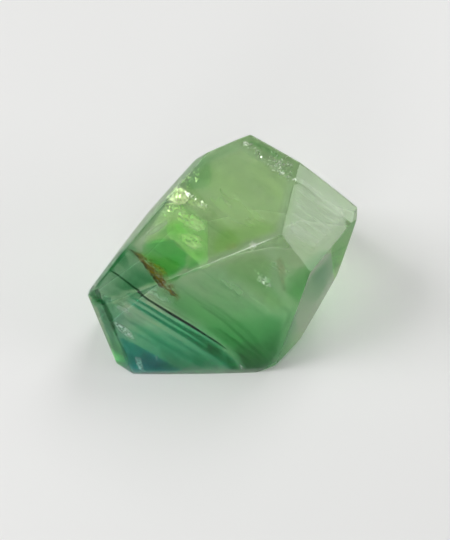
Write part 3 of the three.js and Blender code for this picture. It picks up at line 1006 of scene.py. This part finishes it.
HAZE = veil_material("veil_haze", (0.74, 0.86, 0.70), 0.55, 5.0, 0.30, 0.66, stretch=1.8, seed=7.2)
add(veil("veil_haze_left", [(133, 243), (145, 230), (158, 221), (170, 215), (172, 224), (160, 234), (148, 243), (136, 250)], 1.2, 6, HAZE, grid=3))
add(veil("veil_mid_haze", [(184, 204), (200, 198), (214, 206), (212, 222), (196, 218)], 2.0, 7, HAZE, grid=3))

SHEEN_BRIGHT = veil_material("crack_sheen_bright", (0.88, 1.0, 0.60), 0.92, 0.5, 0.18, 0.70, stretch=2.4, roughness=0.50, seed=3.5, detail=7, metallic=0.9, turn=0.5)
SHEEN = veil_material("crack_sheen", (0.82, 1.0, 0.60), 0.72, 0.8, 0.16, 0.80, stretch=2.6, roughness=0.60, seed=5.5, detail=7, metallic=0.9, turn=0.5)
SHEEN_SOFT = veil_material("crack_sheen_soft", (0.68, 1.0, 0.50), 0.50, 1.4, 0.14, 0.86, stretch=2.4, roughness=0.54, seed=8.5, detail=7, metallic=0.9, turn=0.4)
FLASH = flake_material("crack_flash", (0.78, 1.0, 0.50), 0.34, 0.85, 0.8)
FLASH_WHITE = flake_material("crack_flash_white", (0.96, 1.0, 0.92), 0.30, 0.85)
FLASH_DULL = flake_material("crack_dull", (0.66, 1.0, 0.46), 0.42, 0.7, 0.6)
add(flakes("crack_left", [(171, 197), (177, 188.5), (181, 187), (184, 191), (188, 196), (186, 203), (180, 204.5), (173, 201)], 0.6, 120, 0.22, 12, FLASH, long=1.6))
add(flakes("crack_left_low", [(163, 208), (170, 199), (178, 204), (188, 203), (186, 209), (172, 212), (163, 211)], 0.8, 26, 0.17, 16, FLASH, long=2.2))
add(glow("sheen_crack", [(167, 200), (175, 189), (181, 185.5), (188, 190), (192, 197), (186, 204), (178, 206), (171, 203)], 1.1, 2.5, SHEEN_BRIGHT, grid=2.5))
add(glow("sheen_crack_tail", [(184, 199), (192, 196), (203, 200), (210, 205), (209, 212), (196, 210), (186, 206)], 1.2, 4, SHEEN, grid=3))
add(flakes("crack_white_1", [(184, 190.5), (190, 192), (196, 197), (199, 200), (194, 199.5), (187, 196), (183, 193.5)], 0.4, 16, 0.16, 12, FLASH_WHITE, long=1.8))
add(flakes("crack_white_2", [(196, 199), (203, 201), (209, 204), (209.5, 209), (205, 208), (198, 203)], 0.6, 16, 0.26, 14, FLASH_WHITE))
add(flakes("sparks_top_left", [(239, 142), (247, 142), (256, 148), (262, 152), (266, 159), (258, 158), (248, 149.5)], 0.5, 24, 0.17, 18, FLASH_WHITE, long=2.0))
add(flakes("sparks_top", [(269, 158), (276, 156), (288, 162), (293, 172), (291, 180), (276, 172), (268, 165)], 0.5, 60, 0.14, 24, FLASH_WHITE, long=2.4))
add(flakes("sparks_top_edge", [(262, 152), (272, 150), (290, 160), (294, 167), (284, 165), (270, 158)], 0.4, 20, 0.12, 20, FLASH_WHITE, long=3.0))
add(flakes("sparks_dark_left", [(187, 172), (193, 170), (200, 168), (201, 174), (196, 184), (190, 184), (186, 178)], 0.6, 14, 0.15, 12, FLASH, long=2.2))
add(flakes("sparks_left_edge", [(180, 182), (186, 176), (192, 180), (190, 188), (182, 190)], 0.5, 10, 0.15, 14, FLASH))
add(glow("sheen_block", [(172, 213), (184, 209), (198, 212), (209.5, 221), (209, 234), (198, 236), (184, 230), (175, 222)], 1.6, 7, SHEEN, grid=3))
add(glow("sheen_block_low", [(174, 232), (190, 229), (207, 235), (207, 249), (196, 254), (182, 248)], 1.6, 7, SHEEN, grid=3))
add(glow("sheen_block_all", [(163, 229), (180, 217), (194, 212), (208.5, 222), (208.6, 240), (208, 262), (199, 265), (188, 253), (176, 242)], 3.4, 4, SHEEN_SOFT, grid=4))
add(glow("sheen_left", [(150, 226), (160, 210), (170, 200), (182, 203), (196, 208), (204, 216), (190, 214), (174, 217), (158, 230)], 1.6, 5, SHEEN_SOFT, grid=4))
add(flakes("sparks_block", [(181, 216), (190, 213), (198, 217), (207, 223), (208, 229), (202, 229), (192, 225), (184, 223)], 1.0, 26, 0.18, 18, FLASH_DULL, long=2.4))
add(flakes("sparks_block_mid", [(170, 205), (182, 207), (196, 215), (204, 220), (198, 222), (184, 216), (168, 211)], 1.0, 20, 0.2, 18, FLASH_DULL, long=2.4))
add(flakes("sparks_block_low", [(184, 237), (194, 235.5), (200, 239), (197, 245), (188, 245.5), (182, 241)], 1.0, 14, 0.18, 18, FLASH_DULL, long=2.4))
add(flakes("sparks_front", [(257, 272), (262, 273), (270, 280), (271, 287), (266, 289), (258, 281)], 0.7, 46, 0.18, 14, FLASH_WHITE, long=1.8))
add(flakes("sparks_front_tail", [(254, 268), (258, 270), (262, 280), (258, 283), (255, 278)], 0.8, 14, 0.15, 14, FLASH_WHITE, long=2.0))
CHIP = veil_material("chip_white", (0.96, 1.0, 0.98), 0.97, 0.20, 0.50, 0.62, seed=4.2, detail=3)


add(veil("chip_3", [(154.5, 354.5), (157.5, 355), (158, 360), (155.5, 360)], 0.03, 0.6, CHIP, grid=1.2))
add(veil("chips", strip([(135, 356), (138.5, 360), (140, 366), (143.5, 371.5)], [3, 8, 6, 5]), 0.03, 1.6, CHIP, grid=1.2))

add(flakes("sparks_field", [(136, 358), (141, 359), (143, 365), (146, 372), (141, 372.5), (136.5, 367)], 0.3, 46, 0.15, 20, FLASH_WHITE, long=1.8))
add(flakes("sparks_blue", [(154, 355), (158, 357), (158, 361), (155, 360)], 0.3, 6, 0.18, 16, FLASH_WHITE))

# iron stain along a crack, and a brown smudge
RUST = veil_material("stain_rust", (0.20, 0.135, 0.0), 0.98, 0.55, 0.34, 0.60, stretch=2.8, roughness=1.0, seed=6.7, detail=8, shine=1.0)
RUST_DARK = veil_material("stain_dark", (0.075, 0.05, 0.0), 0.95, 0.9, 0.36, 0.50, stretch=1.6, roughness=1.0, seed=1.7, detail=5, shine=1.0)
RUST_SOFT = veil_material("stain_ochre", (0.28, 0.27, 0.0), 0.75, 0.7, 0.34, 0.68, stretch=2.4, roughness=1.0, seed=2.9, detail=8, shine=1.0)
add(veil("stain_1", strip([(128.5, 248), (132, 250), (135, 252.3), (138.4, 255), (141, 257.4), (143.6, 260), (146, 262.5), (148.6, 265.6), (151, 268.6), (153.4, 272), (156, 275), (158.6, 278.3), (161.5, 281.5), (164, 284)], [1.2, 2.6, 2.2, 5.6, 4.0, 8.0, 5.4, 9.6, 6.4, 10.6, 6.6, 11.0, 7.4, 9.6]), 0.7, 1.4, RUST, grid=1.3))
add(veil("stain_line", strip([(126.5, 247.3), (133, 251.8), (139.5, 257.5), (144.5, 264), (149.5, 271), (154.5, 278.5), (159.5, 284.5), (164.5, 289.5)], [1.4, 2.2, 2.8, 3.2, 2.8, 3.0, 2.6, 1.6]), 0.55, 0.8, RUST_DARK, grid=1.4))
add(veil("stain_1_soft", strip([(134, 251), (143, 258), (152, 266), (159, 274), (165, 281)], [6, 13, 17, 18, 17]), 0.9, 5, RUST_SOFT, grid=2.2))
add(veil("stain_2", strip([(159.5, 280.5), (162, 283.4), (165, 286), (167.5, 288), (170, 290.4), (172.5, 293.4), (175, 296), (178, 300)], [7.0, 10.6, 6.2, 9.4, 4.6, 6.6, 2.6, 1.6]), 0.7, 1.4, RUST, grid=1.3))
add(veil("stain_2_soft", strip([(162, 281), (168, 287), (174, 293), (179, 301)], [16, 16, 13, 8]), 0.9, 5, RUST_SOFT, grid=2.2))
SMUDGE = veil_material("stain_smudge", (0.42, 0.25, 0.10), 0.45, 2.0, 0.10, 0.80, stretch=1.0, roughness=0.9, seed=3.9, detail=4, shine=1.0)
add(veil("smudge", [(275, 259), (280, 255), (285, 261), (287, 272), (286, 284), (287, 292), (282, 292), (279, 280), (276, 268)], 1.6, 3.5, SMUDGE, grid=2))
add(veil("smudge_ridge", [(224, 246), (234, 241), (240, 246), (232, 251), (226, 252)], 1.6, 4, SMUDGE, grid=2))

# pale patch under the stain, whitish crack over the blue corner, curve over the band's end
CHALK = veil_material("crack_chalk", (0.80, 0.92, 0.84), 0.60, 2.2, 0.34, 0.66, stretch=2.0, roughness=0.6, seed=1.9, detail=5)
add(veil("pale_patch", [(141, 291.5), (150, 288), (162, 285), (170, 292), (176, 303), (168, 306), (156, 299), (146, 294)], 1.0, 4, CHALK, grid=2.5))
BROKEN = veil_material("crack_broken", (0.90, 1.0, 0.95), 0.95, 0.35, 0.42, 0.60, stretch=2.2, seed=9.3, detail=6)
add(veil("crack_blue", strip([(112.5, 321.5), (118, 325.5), (124, 330), (130, 335), (136, 340.5)], [2, 6, 8, 7, 2]), 0.5, 2.0, BROKEN, grid=1.5))
add(veil("crack_curve", strip([(230, 350.5), (235.5, 357), (240, 364), (243, 370.5)], [1.5, 2.2, 2.4, 2.2]), 0.25, 0.9, CHALK, grid=1.5))
add(veil("pale_field", [(112, 304), (122, 300), (136, 311), (150, 320.5), (166, 331), (158, 332), (140, 322), (124, 315), (114, 312)], 0.8, 5, CHALK, grid=3))

# frosting along the edges; the bright strip on the ridge is a painted highlight, a near-white metallic sheet proud of
# the stone that stands in for the ridge's reflection, partly edge wear
# near-white, strongly metallic frosting: a painted highlight along the ridge as well as wear
FROST_AND_PAINTED_HIGHLIGHT = veil_material("edge_frost_painted_highlight", (0.93, 1.0, 0.90), 0.95, 1.4, 0.14, 0.38, stretch=1.0, roughness=0.36, seed=2.6, detail=4, metallic=0.85)
FROST_THIN = veil_material("edge_frost_thin", (0.88, 0.98, 0.84), 0.50, 1.6, 0.34, 0.62, stretch=1.0, roughness=0.4, seed=6.1, detail=4, metallic=0.6)
# painted highlight along the ridge between the two front facets, partly worn frosting
add(edge_wear_and_highlight("ridge_wear_and_painted_highlight", "front_lower", "front_upper", 0.44, 1.0, lambda t: ramp(t, (0.44, 0.07), (0.7, 0.10), (0.82, 0.22), (0.92, 0.46), (1.0, 0.46)), FROST_AND_PAINTED_HIGHLIGHT, middle=0.42))
add(edge_wear_and_highlight("wear_front_right", "front_lower", "right_upper", 0.0, 1.0, 0.16, FROST_THIN))
add(edge_wear_and_highlight("wear_wall", "right_upper", "right_lower", 0.0, 1.0, 0.30, FROST_THIN))
add(flakes("nick_star", [(249, 243.5), (252, 241), (255.5, 244), (255, 248.5), (251, 250), (248.5, 247)], 0.02, 44, 0.34, 24, FLASH_WHITE, layers=0.35, long=1.6))
add(flakes("corner_star", [(293.5, 178), (296.5, 178.5), (296, 182), (293.5, 182)], 0.02, 8, 0.16, 20, FLASH_WHITE, layers=0.3, long=1.4))
add(ribbon("front_edge", [(296, 304), (289.5, 323), (283.3, 340), (276.5, 358)], [8, 10, 10, 9], 0.3, 0.8, PINE, soft=0.9, ends=(8, 4)))

for ob in PIECES:
    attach(ob, "root")

# ---------------------------------------------------------------------------------------------
# Stage, light and camera
# ---------------------------------------------------------------------------------------------
scene = bpy.context.scene
s = 1.2
floor = bpy.data.meshes.new("floor")
floor.from_pydata(
    [(-s, -s, -5e-5), (s, -s, -5e-5), (s, s, -5e-5), (-s, s, -5e-5)], [], [(0, 1, 2, 3)]
)
floor = link("floor", floor)
m, nt, b, _o = new_material("floor")
b.inputs["Base Color"].default_value = (0.80, 0.80, 0.79, 1)
b.inputs["Roughness"].default_value = 0.5
floor.data.materials.append(m)

world = bpy.data.worlds.new("world")
scene.world = world
world.use_nodes = True
world.node_tree.nodes["Background"].inputs[0].default_value = (1, 1, 1, 1)
world.node_tree.nodes["Background"].inputs[1].default_value = 0.29


def softbox(name, at, size, power, aim=(0, 0, 0.015), colour=(1, 1, 1)):
    la = bpy.data.lights.new(name, "AREA")
    la.shape = "RECTANGLE"
    la.size, la.size_y = size
    la.energy = power
    la.color = colour
    o = bpy.data.objects.new(name, la)
    scene.collection.objects.link(o)
    o.location = at
    o.rotation_euler = (Vector(at) - Vector(aim)).to_track_quat("Z", "Y").to_euler()
    o.visible_camera = False
    return o


softbox("key", from_az_el(KEY_AZ, KEY_EL) * KEY_DIST, (0.45, 0.45), 5.2)
softbox("back_window", from_az_el(math.radians(151.0), math.radians(45.0)) * 0.98, (0.45, 0.45), 2.8)
softbox("side_window", (0.70, -0.13, 0.200), (0.36, 0.300), 1.25, aim=(0, -0.13, 0.14))
softbox("side_window_low", (0.70, 0.195, 0.068), (0.19, 0.124), 0.28, aim=(0, 0.195, 0.04))
softbox("top_window", from_az_el(math.radians(-57), math.radians(65)) * 0.7, (0.24, 0.24), 0.20)
softbox("front_window", (-0.16, -0.52, 0.24), (0.22, 0.20), 0.5)

cam = bpy.data.cameras.new("camera")
camera = bpy.data.objects.new("camera", cam)
scene.collection.objects.link(camera)
camera.location = tuple(CAM_AT * MM)
camera.rotation_euler = (math.pi / 2 - CAM_ELEVATION, 0, 0)
cam.lens, cam.sensor_width, cam.sensor_fit, cam.clip_start = 65, 36, "AUTO", 0.01
scene.camera = camera
scene.view_settings.view_transform = "Standard"
scene.cycles.max_bounces = 64
scene.cycles.transmission_bounces = 64
scene.cycles.transparent_max_bounces = 64
scene.cycles.volume_bounces = 0
